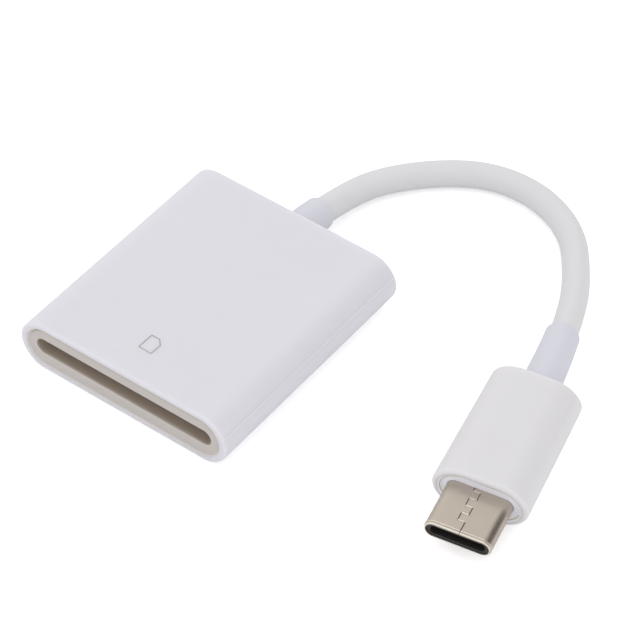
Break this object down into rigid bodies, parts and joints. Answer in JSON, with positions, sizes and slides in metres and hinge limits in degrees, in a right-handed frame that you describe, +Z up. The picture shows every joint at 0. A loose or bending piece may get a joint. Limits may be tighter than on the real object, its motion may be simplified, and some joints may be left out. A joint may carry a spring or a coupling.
{
  "type": "memory card reader",
  "caption": "Pocket memory card reader: flat rounded white housing with a card slot in its front, a short captive cable at the rear and a small reversible plug.",
  "frame": {"origin": "on the table under the middle of the housing", "axes": "+X across the card slot, +Y from the slot towards the cable, +Z up from the table"},
  "size_m": [0.064, 0.061, 0.0072],
  "materials": {
    "housing_plastic": "satin",
    "bezel_plastic": "satin",
    "socket_plastic": "matte",
    "shield_steel": "satin",
    "contact_gold": "bright",
    "board_laminate": "satin",
    "chip_epoxy": "matte",
    "crystal_lid": "satin",
    "capacitor_ceramic": "matte",
    "resistor_ceramic": "matte",
    "jacket_rubber": "satin",
    "relief_rubber": "satin",
    "wire_red": "satin",
    "wire_white": "satin",
    "wire_green": "satin",
    "wire_black": "satin",
    "cap_plastic": "satin",
    "shell_nickel": "satin",
    "latch_steel": "satin"
  },
  "bodies": {
    "root": {"housing_sleeve": "housing_plastic", "slot_bezel": "bezel_plastic", "main_board": "board_laminate", "socket_base": "socket_plastic", "socket_shield": "shield_steel", "socket_contacts": "contact_gold", "socket_switch_springs": "contact_gold", "controller_chip": "chip_epoxy", "crystal": "crystal_lid", "board_capacitors": "capacitor_ceramic", "board_resistors": "resistor_ceramic", "housing_strain_relief": "relief_rubber", "plug_strain_relief": "relief_rubber", "cable": "jacket_rubber", "board_wire_red": "wire_red", "board_wire_white": "wire_white", "board_wire_green": "wire_green", "board_wire_black": "wire_black", "plug_cover": "housing_plastic", "plug_front_cap": "cap_plastic", "plug_shell": "shell_nickel", "plug_insulator": "socket_plastic", "plug_upper_contacts": "contact_gold", "plug_lower_contacts": "contact_gold", "plug_latch": "latch_steel", "plug_board": "board_laminate", "plug_resistor": "resistor_ceramic", "plug_wire_red": "wire_red", "plug_wire_white": "wire_white", "plug_wire_green": "wire_green", "plug_wire_black": "wire_black"}
  },
  "joints": []
}
